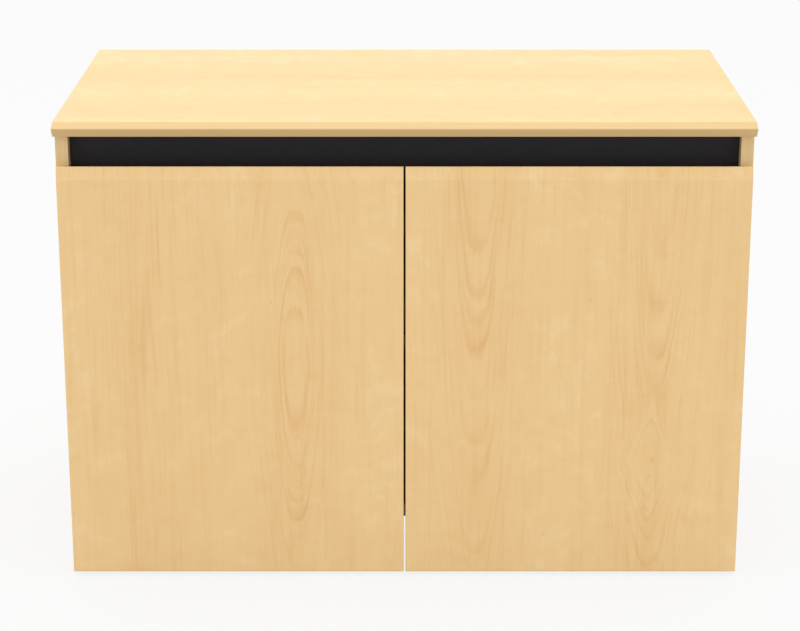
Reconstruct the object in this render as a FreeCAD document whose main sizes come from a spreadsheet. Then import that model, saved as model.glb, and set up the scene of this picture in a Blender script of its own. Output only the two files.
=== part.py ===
import FreeCAD, Part
import os
import re
import Sketcher

# A two-door credenza in wood-look board: a thin nosed top, a dark finger recess under it,
# two overlay doors on concealed single-pivot cup hinges, a raised bottom, one shelf and a back.
# Millimetres. The origin is on the floor under the middle of the top, +Z is up, the front faces -Y.

Vector = FreeCAD.Vector
Rotation = FreeCAD.Rotation

# Driving sizes, each written once.
SIZES = {
    # The top and the overall height
    "top_width": 1050,
    "top_depth": 580,
    "overall_height": 730,
    "top_thickness": 21,
    "top_side_overhang": 1,
    "top_back_overhang": 3,
    "top_front_overhang": 6,
    # The two slopes that meet in the nose along the front of the top
    "nose_upper_run": 16,
    "nose_upper_drop": 6.5,
    "nose_lower_run": 10,
    "nose_land": 1.6,
    "nose_radius": 1.2,
    # The boards of the carcass
    "side_thickness": 19,
    "bottom_thickness": 19,
    "back_thickness": 16,
    "edging_thickness": 1,
    "kick_height": 93,
    "glide_height": 6,
    # The dark rail behind the finger recess
    "recess_height": 46,
    "rail_thickness": 16,
    "rail_setback": 20,
    "rail_drop": 30,
    # The doors
    "door_thickness": 19,
    "door_back_gap": 3,
    "door_side_reveal": 2,
    "door_centre_gap": 3,
    "door_floor_gap": 7,
    "door_facet_height": 20,
    "door_facet_depth": 4,
    # The finger bevel along the top of the door, behind the facet
    "door_top_land": 2.5,
    "door_bevel_drop": 12.5,
    "door_edge_radius": 2,
    # The shelf, its pins and the rows of holes that take them
    "shelf_thickness": 19,
    "shelf_setback": 25,
    "shelf_end_clearance": 1,
    "shelf_back_clearance": 2,
    "pin_radius": 2.5,
    "pin_bore_depth": 10,
    "pin_tab_length": 8,
    "pin_tab_width": 7,
    "pin_tab_height": 3,
    "pin_inset": 60,
    "pin_first_height": 270,
    "pin_pitch": 32,
    # Cam bolts, cam housings and dowels that draw the boards together
    "connector_inset": 60,
    "cam_inset": 34,
    "cam_radius": 7.5,
    "cam_depth": 13,
    "bolt_radius": 3,
    "bolt_head_reach": 3,
    "bolt_thread_radius": 2.5,
    "bolt_thread_length": 11,
    "dowel_inset": 160,
    "dowel_radius": 4,
    "dowel_length": 24,
    "rail_fixing_spread": 22,
    "hardware_fit": 0.1,
    # Pan-head wood screws
    "screw_radius": 1.75,
    "screw_length": 11,
    "screw_head_radius": 3.2,
    "screw_head_height": 1.6,
    "back_screw_spread": 400,
    "back_screw_length": 40,
    # Glides under the sides and bumpers behind the doors
    "glide_radius": 8,
    "glide_inset": 40,
    "nail_radius": 1.6,
    "nail_length": 15,
    "bumper_radius": 4,
    "bumper_gap": 0.3,
    "bumper_inset": 45,
    "bumper_spacing": 300,
    # The concealed hinges
    "hinge_inset": 80,
    "pivot_edge_inset": 8.5,
    "pivot_depth": 10,
    "hinge_pin_radius": 1.25,
    "hinge_pin_fit": 0.05,
    "cup_radius": 17.4,
    "cup_bore_fit": 0.1,
    "cup_edge_gap": 3,
    "cup_depth": 13.8,
    "cup_wall": 1.2,
    "cup_floor": 0.8,
    "cheek_thickness": 3,
    "cheek_width": 4.4,
    "cheek_rise": 2.2,
    "flange_thickness": 1,
    "flange_outer_reach": 15.5,
    "flange_inner_reach": 20,
    "flange_half_height": 13,
    "wing_radius": 5.5,
    "cup_screw_offset": 9.5,
    "cup_screw_half_pitch": 22.5,
    "eye_radius": 2.5,
    "arm_thickness": 2,
    "arm_width": 13,
    "arm_length": 62,
    "arm_bend_radius": 1.5,
    "arm_side_clearance": 0.5,
    "arm_flange_thickness": 1.5,
    "arm_flange_height": 4.5,
    "arm_flange_lead": 6,
    "plate_thickness": 1.8,
    "plate_start": 20,
    "plate_length": 46,
    "plate_half_width": 9,
    "plate_rail_height": 5.2,
    "plate_rail_half_width": 4.5,
    "plate_screw_line": 37,
    "plate_screw_half_pitch": 16,
    "plate_wing_radius": 6,
    "arm_screw_line": 54,
    "adjust_screw_line": 29,
    "arm_screw_radius": 2,
    "arm_screw_length": 5,
    "spring_start": 3.2,
    "spring_reach": 16,
    "spring_thickness": 0.6,
    "spring_rise": 0.7,
    "spring_bend": 3,
    "spring_half_width": 4,
}

# Counts: how many pin holes a row has, and how many of them are below the one that carries the shelf.
PIN_HOLES_IN_A_ROW = 7
PIN_HOLES_BELOW_SHELF = 3

# Places and sizes that follow from the driving ones.
FORMULAS = {
    "half_width": "top_width / 2",
    "nose_y": "-top_depth / 2",
    "top_back_y": "top_depth / 2",
    "top_under_z": "overall_height - top_thickness",
    "door_front_y": "nose_y + top_front_overhang",
    "door_back_y": "door_front_y + door_thickness",
    "carcass_front_y": "door_back_y + door_back_gap",
    "carcass_back_y": "top_back_y - top_back_overhang",
    "board_front_y": "carcass_front_y + edging_thickness",
    "back_front_y": "carcass_back_y - back_thickness",
    "carcass_half": "half_width - top_side_overhang",
    "inner_half": "carcass_half - side_thickness",
    "side_middle": "carcass_half - side_thickness / 2",
    "side_height": "top_under_z - glide_height",
    "bottom_top_z": "kick_height + bottom_thickness",
    "bottom_middle_z": "kick_height + bottom_thickness / 2",
    "back_height": "top_under_z - kick_height",
    "back_middle_y": "carcass_back_y - back_thickness / 2",
    "rail_front_y": "carcass_front_y + rail_setback",
    "rail_back_y": "rail_front_y + rail_thickness",
    "rail_middle_y": "rail_front_y + rail_thickness / 2",
    "rail_height": "recess_height + rail_drop",
    "rail_bottom_z": "top_under_z - rail_height",
    "rail_middle_z": "top_under_z - rail_height / 2",
    "door_top_z": "top_under_z - recess_height",
    "door_height": "door_top_z - door_floor_gap",
    "door_edge": "carcass_half - door_side_reveal",
    "door_width": "door_edge - door_centre_gap / 2",
    "front_connector_y": "carcass_front_y + connector_inset",
    "rear_connector_y": "back_front_y - connector_inset",
    "front_dowel_y": "carcass_front_y + dowel_inset",
    "rear_dowel_y": "back_front_y - dowel_inset",
    "front_pin_y": "carcass_front_y + shelf_setback + pin_inset",
    "rear_pin_y": "back_front_y - shelf_back_clearance - pin_inset",
    "shelf_half": "inner_half - shelf_end_clearance",
    "shelf_front_y": "carcass_front_y + shelf_setback",
    "shelf_back_y": "back_front_y - shelf_back_clearance",
    "lower_hinge_z": "bottom_top_z + hinge_inset",
    "upper_hinge_z": "rail_bottom_z - hinge_inset",
    "pivot_line": "door_edge - pivot_edge_inset",
    "pivot_y": "door_back_y - pivot_depth",
    "cup_line": "door_edge - cup_edge_gap - cup_radius - cup_bore_fit",
    "cup_bottom_y": "door_back_y - cup_depth",
    "cup_inner_radius": "cup_radius - cup_wall",
    "cheek_gap": "arm_width / 2 + arm_side_clearance",
    "hinge_pin_length": "2 * cheek_gap + 2 * cheek_thickness",
    "wing_line": "cup_line - cup_screw_offset",
    "arm_reach": "carcass_front_y - pivot_y + arm_length",
    "plate_height": "plate_thickness + plate_rail_height",
    "arm_inner": "pivot_line - inner_half + plate_height",
    "arm_outer": "arm_inner + arm_thickness",
    "arm_face": "inner_half - plate_height - arm_thickness",
    "arm_end_y": "carcass_front_y + arm_length",
    "plate_y": "carcass_front_y + plate_start",
    "plate_screw_y": "carcass_front_y + plate_screw_line",
    "arm_screw_y": "carcass_front_y + arm_screw_line",
    "adjust_screw_y": "carcass_front_y + adjust_screw_line",
    "spring_floor": "cup_depth - cup_floor - pivot_depth",
    "bumper_height": "door_back_gap - bumper_gap",
}

doc = FreeCAD.newDocument("credenza")
sheet = doc.addObject("Spreadsheet::Sheet", "sizes")
rows = list(SIZES.items()) + [(name, "=" + formula) for name, formula in FORMULAS.items()]
for row, (name, content) in enumerate(rows, start=1):
    sheet.set(f"A{row}", name)
    sheet.set(f"B{row}", str(content))
    sheet.setAlias(f"B{row}", name)
doc.recompute()

# Every finished piece, in the order in which it is made.
pieces = []


def linked(formula):
    """The formula with each size name pointing at its cell of the sheet."""
    return re.sub(r"[a-z][a-z_]*", lambda word: "sizes." + word.group(), formula)


def value(formula):
    """What a formula comes to with the sizes as they are now."""
    names = {name: float(sheet.get(name)) for name in re.findall(r"[a-z][a-z_]*", formula)}
    numbers = re.sub(r"[a-z][a-z_]*", lambda word: f"({names[word.group()]!r})", formula)
    return FreeCAD.Units.Quantity(numbers).Value


def bind(item, **formulas):
    """Ties an object's own sizes to the sheet."""
    for name, formula in formulas.items():
        item.setExpression(name, linked(formula))


def place(item, x, y, z):
    """Ties an object's place to the sheet."""
    for axis, formula in zip("xyz", (x, y, z)):
        item.setExpression(".Placement.Base." + axis, linked(formula))


def finished(label, item):
    """Names a piece and adds it to the ones that are written out."""
    item.Label = label
    pieces.append(item)
    return item


# Which way a rod runs from its starting point.
WAYS = {
    "+x": Rotation(Vector(0, 1, 0), 90),
    "-x": Rotation(Vector(0, 1, 0), -90),
    "+y": Rotation(Vector(1, 0, 0), -90),
    "-y": Rotation(Vector(1, 0, 0), 90),
    "+z": Rotation(),
    "-z": Rotation(Vector(1, 0, 0), 180),
}
OPPOSITE = {"+x": "-x", "-x": "+x", "+y": "-y", "-y": "+y", "+z": "-z", "-z": "+z"}


def block(name, corner, spans):
    """A board or plate from its lowest corner and its three spans."""
    item = doc.addObject("Part::Box", name)
    bind(item, Length=spans[0], Width=spans[1], Height=spans[2])
    place(item, *corner)
    return item


def rod(name, start, way, radius, length):
    """A round bar that runs from start along one of the six ways."""
    item = doc.addObject("Part::Cylinder", name)
    item.Placement = FreeCAD.Placement(Vector(), WAYS[way])
    bind(item, Radius=radius, Height=length)
    place(item, *start)
    return item


def joined(name, parts):
    """Several overlapping forms made into one."""
    item = doc.addObject("Part::MultiFuse", name)
    item.Shapes = parts
    return item


def bored(name, base, tools):
    """A form with others taken away from it."""
    item = doc.addObject("Part::Cut", name)
    item.Base = base
    item.Tool = tools[0] if len(tools) == 1 else joined(name + "_bores", tools)
    return item


def together(name, parts):
    """Separate solids kept in one group."""
    item = doc.addObject("Part::Compound", name)
    item.Links = parts
    return item


def mirrored(name, source):
    """The same form on the other side of the middle of the cabinet."""
    item = doc.addObject("Part::Mirroring", name)
    item.Source = source
    item.Base = Vector()
    item.Normal = Vector(1, 0, 0)
    return item


def both_sides(label, parts):
    """A group on the left and its mirror image on the right, as one piece."""
    left = together(label + "_on_left", parts)
    return finished(label, together(label, [left, mirrored(label + "_on_right", left)]))


def outlined(name, plane_role, corners, length):
    """A body pushed out from a closed outline whose corners are pairs of formulas."""
    body = doc.addObject("PartDesign::Body", name)
    plane = [item for item in body.Origin.OriginFeatures if item.Role == plane_role][0]
    sketch = body.newObject("Sketcher::SketchObject", name + "_outline")
    sketch.AttachmentSupport = [(plane, "")]
    sketch.MapMode = "FlatFace"
    points = [Vector(value(across), value(up), 0) for across, up in corners]
    for index, point in enumerate(points):
        following = points[(index + 1) % len(points)]
        sketch.addGeometry(Part.LineSegment(point, following), False)
    for index in range(len(points)):
        following = (index + 1) % len(points)
        sketch.addConstraint(Sketcher.Constraint("Coincident", index, 2, following, 1))
    for index, pair in enumerate(corners):
        for kind, formula in zip(("DistanceX", "DistanceY"), pair):
            held = sketch.addConstraint(Sketcher.Constraint(kind, -1, 1, index, 1, value(formula)))
            sketch.setExpression(f"Constraints[{held}]", linked(formula))
    pad = body.newObject("PartDesign::Pad", name + "_length")
    pad.Profile = sketch
    bind(pad, Length=length)
    doc.recompute()
    return body


def rounded(body, chosen, radius):
    """Rounds those edges of a body whose two ends pass the test."""
    tip = body.Tip
    edges = []
    for index, edge in enumerate(tip.Shape.Edges, start=1):
        first, last = edge.Vertexes[0].Point, edge.Vertexes[-1].Point
        if chosen(first, last):
            edges.append(f"Edge{index}")
    fillet = body.newObject("PartDesign::Fillet", body.Name + "_round")
    fillet.Base = (tip, edges)
    bind(fillet, Radius=radius)
    doc.recompute()
    return body


NEAR = 1e-4


def near(number, formula):
    """Whether a measured number is what a formula comes to."""
    return abs(number - value(formula)) < NEAR


# The top: a board whose front edge is cut to two slopes that meet at the narrow land of a blunt nose.
def nosed(name, depth, length):
    """A length of the top's section, from the nose at Y = 0 back to the depth given."""
    corners = [
        ("nose_lower_run", "0"),
        (depth, "0"),
        (depth, "top_thickness"),
        ("nose_upper_run", "top_thickness"),
        ("0", "top_thickness - nose_upper_drop"),
        ("0", "top_thickness - nose_upper_drop - nose_land"),
    ]
    body = outlined(name, "YZ_Plane", corners, length)

    def along_the_nose(first, last):
        runs_across = abs(first.x - last.x) > NEAR
        return runs_across and first.y < value("nose_upper_run") + NEAR

    return rounded(body, along_the_nose, "nose_radius")


top = nosed("top_blank", "top_depth - edging_thickness", "top_width - 2 * edging_thickness")
place(top, "edging_thickness - half_width", "nose_y", "top_under_z")
end_strip = nosed("end_strip", "top_depth", "edging_thickness")
place(end_strip, "-half_width", "nose_y", "top_under_z")
rear_strip = block(
    "rear_strip",
    ("edging_thickness - half_width", "top_back_y - edging_thickness", "top_under_z"),
    ("top_width - 2 * edging_thickness", "edging_thickness", "top_thickness"),
)


# What joins the boards. Each maker keeps its solids and gives back the bores that they need.
cams = []
bolts = []
dowels = []


def connector(name, seat, bolt_way, face, cam_way):
    """A bolt screwed into one board at seat, and the cam housing in the other that draws it in."""
    back_way = OPPOSITE[bolt_way]
    shank_length = "cam_inset + bolt_head_reach"
    shank = rod(name + "_shank", seat, bolt_way, "bolt_radius", shank_length)
    thread = rod(name + "_thread", seat, back_way, "bolt_thread_radius", "bolt_thread_length")
    bolts.append(joined(name + "_bolt", [shank, thread]))
    drum = rod(name + "_drum", face, cam_way, "cam_radius", "cam_depth")
    room_radius = "bolt_radius + hardware_fit"
    room_length = shank_length + " + hardware_fit"
    room = rod(name + "_room", seat, bolt_way, room_radius, room_length)
    cams.append(bored(name + "_housing", drum, [room]))
    drum_radius = "cam_radius + hardware_fit"
    drum_length = "cam_depth + hardware_fit"
    drum_bore = rod(name + "_drum_bore", face, cam_way, drum_radius, drum_length)
    thread_radius = "bolt_thread_radius + hardware_fit"
    thread_length = "bolt_thread_length + hardware_fit"
    thread_bore = rod(name + "_thread_bore", seat, back_way, thread_radius, thread_length)
    return [joined(name + "_shank_bores", [room, drum_bore])], [thread_bore]


def dowel(name, middle, axis):
    """A dowel across the seam at middle, and its bore through both boards."""
    shift = {letter: formula for letter, formula in zip("xyz", middle)}
    shift[axis] += " - dowel_length / 2"
    start = tuple(shift.values())
    dowels.append(rod(name, start, "+" + axis, "dowel_radius", "dowel_length"))
    shift[axis] += " - hardware_fit"
    start = tuple(shift.values())
    length = "dowel_length + 2 * hardware_fit"
    return [rod(name + "_bore", start, "+" + axis, "dowel_radius + hardware_fit", length)]


side_bores = []
top_bores = []
bottom_bores = []
rail_bores = []
back_bores = []
inner_face = "-inner_half"
cam_line = "cam_inset - inner_half"
for end in ("front", "rear"):
    end_y = end + "_connector_y"
    seat = (inner_face, end_y, "bottom_middle_z")
    held, threaded = connector(end + "_bottom", seat, "+x", (cam_line, end_y, "kick_height"), "+z")
    bottom_bores += held
    side_bores += threaded
    seat = ("-side_middle", end_y, "top_under_z")
    face = (inner_face, end_y, "top_under_z - cam_inset")
    held, threaded = connector(end + "_top", seat, "-z", face, "-x")
    side_bores += held
    top_bores += threaded
    dowel_y = end + "_dowel_y"
    seam = dowel(end + "_bottom_dowel", (inner_face, dowel_y, "bottom_middle_z"), "x")
    bottom_bores += seam
    side_bores += seam
    seam = dowel(end + "_top_dowel", ("-side_middle", dowel_y, "top_under_z"), "z")
    top_bores += seam
    side_bores += seam
rail_bolt_z = "rail_middle_z - rail_fixing_spread / 2"
rail_dowel_z = "rail_middle_z + rail_fixing_spread / 2"
seat = (inner_face, "rail_middle_y", rail_bolt_z)
held, threaded = connector("rail", seat, "+x", (cam_line, "rail_back_y", rail_bolt_z), "-y")
rail_bores += held
side_bores += threaded
seam = dowel("rail_dowel", (inner_face, "rail_middle_y", rail_dowel_z), "x")
rail_bores += seam
side_bores += seam
for level in ("kick_height", "top_under_z"):
    sign = "+" if level == "kick_height" else "-"
    height = f"{level} {sign} dowel_inset"
    seam = dowel("back_dowel", (inner_face, "back_middle_y", height), "x")
    back_bores += seam
    side_bores += seam


# Screws: a pan head outside and a shank that runs into the board.
def screw(name, seat, way, length):
    """A screw whose head sits on seat, and the bore that its shank needs."""
    head = rod(name + "_head", seat, OPPOSITE[way], "screw_head_radius", "screw_head_height")
    shank = rod(name + "_shank", seat, way, "screw_radius", length)
    bore_radius = "screw_radius + hardware_fit"
    bore = rod(name + "_bore", seat, way, bore_radius, length + " + hardware_fit")
    return joined(name, [head, shank]), bore


# The back is screwed to the rear edge of the bottom board.
back_screws = []
back_screw_bores = []
for name, line in (("left", "-back_screw_spread"), ("middle", "0"), ("right", "back_screw_spread")):
    seat = (line, "carcass_back_y", "bottom_middle_z")
    made, bore = screw(name + "_back_screw", seat, "-y", "back_screw_length")
    back_screws.append(made)
    back_screw_bores.append(bore)


# Shelf pins and the rows of holes that they can stand in.
pin_levels = [f"pin_first_height + {hole} * pin_pitch" for hole in range(PIN_HOLES_IN_A_ROW)]
shelf_level = pin_levels[PIN_HOLES_BELOW_SHELF]
pins = []
for row_y in ("front_pin_y", "rear_pin_y"):
    for level in pin_levels:
        start = (inner_face, row_y, level)
        bore_radius = "pin_radius + hardware_fit"
        side_bores.append(rod("pin_hole", start, "-x", bore_radius, "pin_bore_depth"))
    start = (inner_face, row_y, shelf_level)
    plug = rod("pin_plug", start, "-x", "pin_radius", "pin_bore_depth - hardware_fit")
    corner = (inner_face, row_y + " - pin_tab_width / 2", shelf_level + " - pin_radius")
    tab = block("pin_tab", corner, ("pin_tab_length", "pin_tab_width", "pin_tab_height"))
    pins.append(joined("shelf_pin", [plug, tab]))


# Glides nailed into the lower edges of the sides.
glides = []
for glide_y in ("carcass_front_y + glide_inset", "carcass_back_y - glide_inset"):
    foot = ("-side_middle", glide_y, "0")
    edge = ("-side_middle", glide_y, "glide_height")
    pad = rod("glide_pad", foot, "+z", "glide_radius", "glide_height")
    nail = rod("glide_nail", edge, "+z", "nail_radius", "nail_length")
    glides.append(joined("glide", [pad, nail]))
    nail_bore = "nail_radius + hardware_fit"
    side_bores.append(rod("nail_bore", edge, "+z", nail_bore, "nail_length + hardware_fit"))


# One concealed hinge: a cup in the door, a pin across it, and a gooseneck arm on a plate
# screwed to the side. The arm turns on the pin and comes out of the cup as the door opens.
plate_screws = []
cup_screws = []
arm_screws = []
door_bores = []
hinge_sets = []


def hinge(level):
    """The pieces of the left hinge at one level, on the cabinet's left side."""
    middle = level + "_hinge_z"

    def at(offset):
        return f"{middle} + {offset}"

    def below(offset):
        return f"{middle} - {offset}"

    # The plate on the side panel: a long bar with a raised rail, and two round wings for its screws.
    bar = block(
        level + "_plate_bar",
        (inner_face, "plate_y", below("plate_half_width")),
        ("plate_thickness", "plate_length", "2 * plate_half_width"),
    )
    web = block(
        level + "_plate_web",
        (inner_face, "plate_screw_y - plate_wing_radius", below("plate_screw_half_pitch")),
        ("plate_thickness", "2 * plate_wing_radius", "2 * plate_screw_half_pitch"),
    )
    rail = block(
        level + "_plate_rail",
        ("plate_thickness - inner_half", "plate_y", below("plate_rail_half_width")),
        ("plate_rail_height", "plate_length", "2 * plate_rail_half_width"),
    )
    plate_parts = [bar, rail, web]
    plate_holes = []
    for turn in (at, below):
        line_z = turn("plate_screw_half_pitch")
        start = (inner_face, "plate_screw_y", line_z)
        plate_parts.append(rod("plate_wing", start, "+x", "plate_wing_radius", "plate_thickness"))
        seat = ("plate_thickness - inner_half", "plate_screw_y", line_z)
        made, bore = screw("plate_screw", seat, "-x", "screw_length")
        plate_screws.append(made)
        plate_holes.append(bore)
        side_bores.append(bore)

    # The screw that clamps the arm to the rail of the plate, and the one that adjusts it.
    arm_holes = []
    for screw_y in ("arm_screw_y", "adjust_screw_y"):
        seat = ("-arm_face", screw_y, middle)
        head = rod("arm_screw_head", seat, "+x", "screw_head_radius", "screw_head_height")
        shank = rod("arm_screw_shank", seat, "-x", "arm_screw_radius", "arm_screw_length")
        arm_screws.append(joined("arm_screw", [head, shank]))
        bore_radius = "arm_screw_radius + hardware_fit"
        bore_length = "arm_screw_length + hardware_fit"
        arm_holes.append(rod("arm_screw_bore", seat, "-x", bore_radius, bore_length))
    plate_blank = joined(level + "_plate_blank", plate_parts)
    plate = bored(level + "_plate", plate_blank, plate_holes + arm_holes)

    # The gooseneck arm: from the eye on the pin, along the cup, then back over the rail of the plate,
    # where two flanges make it a channel.
    half = "arm_thickness / 2"
    corners = [
        ("0", "-" + half),
        ("arm_outer", "-" + half),
        ("arm_outer", "arm_reach"),
        ("arm_inner", "arm_reach"),
        ("arm_inner", half),
        ("0", half),
    ]
    neck = outlined(level + "_neck", "XY_Plane", corners, "arm_width")

    def outer_bend(first, last):
        outside = near(first.x, "arm_outer") and near(last.x, "arm_outer")
        return outside and first.y < 0 and last.y < 0

    def inner_bend(first, last):
        level_ends = near(first.y, half) and near(last.y, half)
        return level_ends and near(first.x, "arm_inner") and near(last.x, "arm_inner")

    rounded(neck, outer_bend, "arm_bend_radius + arm_thickness")
    rounded(neck, inner_bend, "arm_bend_radius")
    place(neck, "-pivot_line", "pivot_y", below("arm_width / 2"))
    pivot = ("-pivot_line", "pivot_y", below("arm_width / 2"))
    eye = rod(level + "_eye", pivot, "+z", "eye_radius", "arm_width")
    eye_bore = rod(level + "_eye_bore", pivot, "+z", "hinge_pin_radius + hinge_pin_fit", "arm_width")
    arm_parts = [neck, eye]
    for flange_z in (at("arm_width / 2 - arm_flange_thickness"), below("arm_width / 2")):
        arm_parts.append(block(
            level + "_arm_flange",
            ("plate_height - inner_half - arm_flange_height", "plate_y - arm_flange_lead", flange_z),
            ("arm_flange_height", "arm_end_y - plate_y + arm_flange_lead", "arm_flange_thickness"),
        ))
    arm = bored(level + "_arm", joined(level + "_arm_blank", arm_parts), [eye_bore] + arm_holes)

    # The cup: a round pot with two cheeks for the pin, and a flange with two screw wings.
    floor = ("-cup_line", "cup_bottom_y", middle)
    pot = rod(level + "_pot", floor, "+y", "cup_radius", "cup_depth")
    flange = block(
        level + "_flange",
        ("-cup_line - flange_outer_reach", "door_back_y", below("flange_half_height")),
        ("flange_outer_reach + flange_inner_reach", "flange_thickness", "2 * flange_half_height"),
    )
    strap = block(
        level + "_strap",
        ("-wing_line - wing_radius", "door_back_y", below("cup_screw_half_pitch")),
        ("2 * wing_radius", "flange_thickness", "2 * cup_screw_half_pitch"),
    )
    cup_parts = [pot, flange, strap]
    cup_holes = []
    for turn in (at, below):
        line_z = turn("cup_screw_half_pitch")
        start = ("-wing_line", "door_back_y", line_z)
        cup_parts.append(rod("cup_wing", start, "+y", "wing_radius", "flange_thickness"))
        seat = ("-wing_line", "door_back_y + flange_thickness", line_z)
        made, bore = screw("cup_screw", seat, "-y", "screw_length")
        cup_screws.append(made)
        cup_holes.append(bore)
        door_bores.append(bore)
    inside = ("-cup_line", "cup_bottom_y + cup_floor", middle)
    cavity = rod(level + "_cavity", inside, "+y", "cup_inner_radius", "cup_depth + flange_thickness")
    shell = bored(level + "_shell", joined(level + "_cup_blank", cup_parts), [cavity] + cup_holes)
    cheeks = []
    for cheek_z in (at("cheek_gap"), below("cheek_gap - cheek_thickness")):
        cheeks.append(block(
            level + "_cheek",
            ("-pivot_line - cheek_width / 2", "cup_bottom_y", cheek_z),
            ("cheek_width", "cup_depth - pivot_depth + cheek_rise", "cheek_thickness"),
        ))
    pin_start = ("-pivot_line", "pivot_y", below("hinge_pin_length / 2"))
    pin_bore = rod(level + "_pin_bore", pin_start, "+z", "hinge_pin_radius", "hinge_pin_length")
    cup = bored(level + "_cup", joined(level + "_cup_body", [shell] + cheeks), [pin_bore])
    pin = rod(level + "_pin", pin_start, "+z", "hinge_pin_radius", "hinge_pin_length")
    bore_radius = "cup_radius + cup_bore_fit"
    bore_start = ("-cup_line", "cup_bottom_y - cup_bore_fit", middle)
    bore_depth = "cup_depth + cup_bore_fit"
    door_bores.append(rod(level + "_cup_bore", bore_start, "+y", bore_radius, bore_depth))

    # The leaf spring on the floor of the cup, with a hump under the arm that snaps the door shut.
    reach = "spring_start + spring_reach"
    first_bend = "spring_start + spring_bend"
    crest = first_bend + " + spring_bend"
    last_bend = crest + " + spring_bend"
    low = "-spring_floor"
    low_top = low + " + spring_thickness"
    spring_corners = [
        ("spring_start", low),
        (first_bend, low),
        (crest, low + " + spring_rise"),
        (last_bend, low),
        (reach, low),
        (reach, low_top),
        (last_bend, low_top),
        (crest, low_top + " + spring_rise"),
        (first_bend, low_top),
        ("spring_start", low_top),
    ]
    leaf = outlined(level + "_spring", "XY_Plane", spring_corners, "2 * spring_half_width")
    place(leaf, "-pivot_line", "pivot_y", below("spring_half_width"))
    return {"plate": plate, "arm": arm, "cup": cup, "pin": pin, "spring": leaf}


HINGE_LEVELS = ("lower", "upper")
for hinge_level in HINGE_LEVELS:
    hinge_sets.append(hinge(hinge_level))


# The finished boards.
def bored_alike(name, blank, bores, more):
    """A board that is bored on the left and, in mirror image, on the right."""
    left = together(name + "_bores_left", bores)
    return bored(name, blank, bores + [mirrored(name + "_bores_right", left)] + more)


finished("top_panel", bored_alike("top_board", top, top_bores, []))
end_strips = [end_strip, mirrored("end_strip_right", end_strip)]
finished("top_edging", together("top_strips", end_strips + [rear_strip]))

side_blank = block(
    "side_blank",
    ("-carcass_half", "board_front_y", "glide_height"),
    ("side_thickness", "carcass_back_y - board_front_y", "side_height"),
)
left_side = finished("left_side_panel", bored("side_board", side_blank, side_bores))
finished("right_side_panel", mirrored("side_board_right", left_side))
side_strip = block(
    "side_strip",
    ("-carcass_half", "carcass_front_y", "glide_height"),
    ("side_thickness", "edging_thickness", "side_height"),
)
left_strip = finished("left_side_edging", side_strip)
finished("right_side_edging", mirrored("side_strip_right", left_strip))


def inner_board(name, front, back, low, height, bores, more):
    """A board that spans the cabinet between the sides, bored alike at both ends."""
    blank = block(
        name + "_blank",
        ("-inner_half", front, low),
        ("2 * inner_half", f"{back} - ({front})", height),
    )
    return bored_alike(name, blank, bores, more)


bottom = inner_board(
    "bottom_board", "board_front_y", "back_front_y", "kick_height", "bottom_thickness",
    bottom_bores, back_screw_bores,
)
finished("bottom_panel", bottom)
bottom_strip = block(
    "bottom_strip",
    ("-inner_half", "carcass_front_y", "kick_height"),
    ("2 * inner_half", "edging_thickness", "bottom_thickness"),
)
finished("bottom_edging", bottom_strip)
back = inner_board(
    "back_board", "back_front_y", "carcass_back_y", "kick_height", "back_height",
    back_bores, back_screw_bores,
)
finished("back_panel", back)
rail = inner_board(
    "rail_board", "rail_front_y", "rail_back_y", "rail_bottom_z", "rail_height",
    rail_bores, [],
)
finished("recess_rail", rail)

shelf_z = shelf_level + " - pin_radius + pin_tab_height"
shelf = block(
    "shelf_board",
    ("-shelf_half", "shelf_front_y + edging_thickness", shelf_z),
    ("2 * shelf_half", "shelf_back_y - shelf_front_y - edging_thickness", "shelf_thickness"),
)
finished("shelf", shelf)
shelf_strip = block(
    "shelf_strip",
    ("-shelf_half", "shelf_front_y", shelf_z),
    ("2 * shelf_half", "edging_thickness", "shelf_thickness"),
)
finished("shelf_edging", shelf_strip)


# The doors: foil-wrapped boards with eased edges, a shallow slope along the top of the face
# and a bevel behind it, for the fingers that pull the door open.
door_corners = [
    ("0", "0"),
    ("door_thickness", "0"),
    ("door_thickness", "door_height - door_bevel_drop"),
    ("door_facet_depth + door_top_land", "door_height"),
    ("door_facet_depth", "door_height"),
    ("0", "door_height - door_facet_height"),
]
door_blank = outlined("door_blank", "YZ_Plane", door_corners, "door_width")


def outer_edge(first, last):
    """The border of the face, and the two upright edges at the back."""
    facet_foot = "door_height - door_facet_height"
    facet_line = near(first.z, facet_foot) and near(last.z, facet_foot)
    on_face = max(first.y, last.y) < value("door_facet_depth") + NEAR
    upright = abs(first.z - last.z) > NEAR
    at_back = near(first.y, "door_thickness") and near(last.y, "door_thickness")
    return (on_face and not facet_line) or (at_back and upright)


rounded(door_blank, outer_edge, "door_edge_radius")
place(door_blank, "-door_edge", "door_front_y", "door_floor_gap")
left_door = finished("left_door", bored("door_board", door_blank, door_bores))
finished("right_door", mirrored("door_board_right", left_door))


# The hardware.
for hinge_level, parts in zip(HINGE_LEVELS, hinge_sets):
    for part_name, part in parts.items():
        label = f"{hinge_level}_hinge_{part_name}"
        finished("left_" + label, part)
        finished("right_" + label, mirrored(label + "_right", part))
screw_groups = {"cup_screws": cup_screws, "plate_screws": plate_screws, "arm_screws": arm_screws}
for label, made in screw_groups.items():
    group = finished("left_" + label, together(label, made))
    finished("right_" + label, mirrored(label + "_right", group))
both_sides("shelf_pins", pins)
both_sides("cam_housings", cams)
both_sides("cam_bolts", bolts)
both_sides("dowels", dowels)
both_sides("glides", glides)
finished("back_screws", together("back_screw_group", back_screws))

bumpers = []
first_bumper = "-door_centre_gap / 2 - bumper_inset"
for bumper_x in (first_bumper, first_bumper + " - bumper_spacing"):
    seat = (bumper_x, "carcass_front_y", "bottom_middle_z")
    bumpers.append(rod("bumper", seat, "-y", "bumper_radius", "bumper_height"))
both_sides("door_bumpers", bumpers)


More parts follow.
